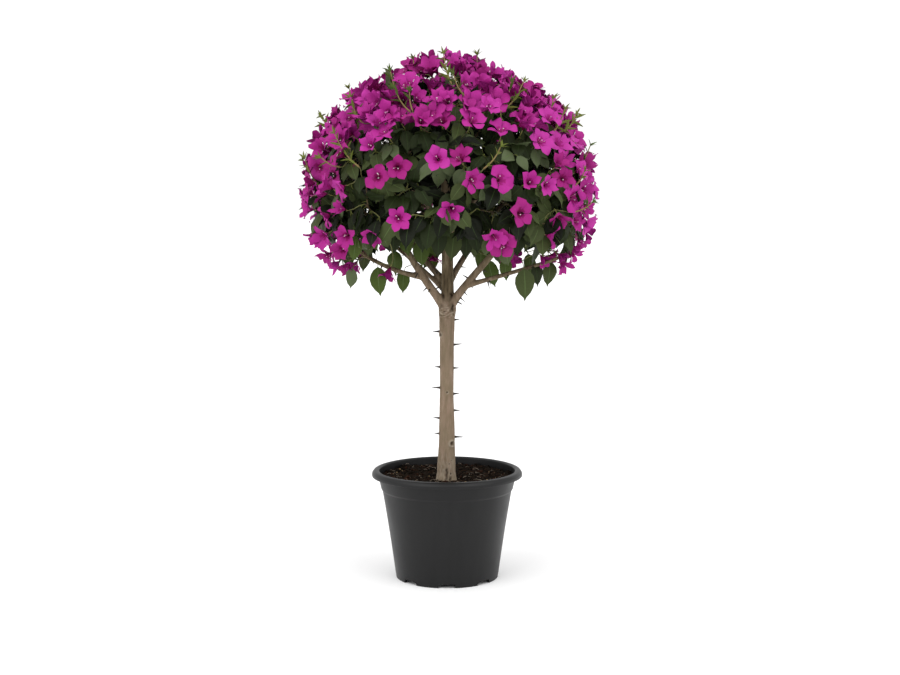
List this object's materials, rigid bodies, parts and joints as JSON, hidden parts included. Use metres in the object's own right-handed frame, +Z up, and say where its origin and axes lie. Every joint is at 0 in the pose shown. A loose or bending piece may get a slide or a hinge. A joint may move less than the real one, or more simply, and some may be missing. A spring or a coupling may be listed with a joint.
{
  "type": "potted bougainvillea standard",
  "caption": "Bougainvillea grown as a standard: a bare thorny trunk with a round head of leaves and bracts, in a black nursery pot of compost.",
  "frame": {"origin": "middle of the pot's underside, on the pot's axis, at the level of the foot ring", "axes": "+Z up along the trunk, -Y the front, +X to the right as seen from the front"},
  "size_m": [0.5635, 0.5655, 0.9801],
  "materials": {
    "pot_plastic": "satin moulded plastic",
    "compost": "rough, moist and crumbly",
    "bark": "rough bark",
    "leaves": "satin leaf",
    "bracts": "papery bract"
  },
  "bodies": {
    "root": {"pot": "pot_plastic", "soil": "compost", "trunk": "bark", "bough_back": "bark", "bough_back_left_high": "bark", "bough_back_left_low": "bark", "bough_back_right": "bark", "bough_front": "bark", "bough_front_left": "bark", "bough_front_right": "bark", "bough_inner_left": "bark", "bough_inner_right": "bark", "bough_left_low": "bark", "bough_right_low": "bark", "mass_lower_1": "leaves", "mass_lower_2": "leaves", "mass_lower_3": "leaves", "mass_lower_4": "leaves", "mass_lower_5": "leaves", "mass_lower_6": "leaves", "mass_lower_7": "leaves", "mass_lower_8": "leaves", "mass_middle_1": "leaves", "mass_middle_2": "leaves", "mass_middle_3": "leaves", "mass_middle_4": "leaves", "mass_middle_5": "leaves", "mass_middle_6": "leaves", "mass_middle_7": "leaves", "mass_middle_8": "leaves", "mass_middle_9": "leaves", "mass_top": "bracts", "mass_upper_1": "bracts", "mass_upper_2": "bracts", "mass_upper_3": "bracts", "mass_upper_4": "bracts", "mass_upper_5": "bracts", "mass_upper_6": "bracts"}
  },
  "joints": []
}
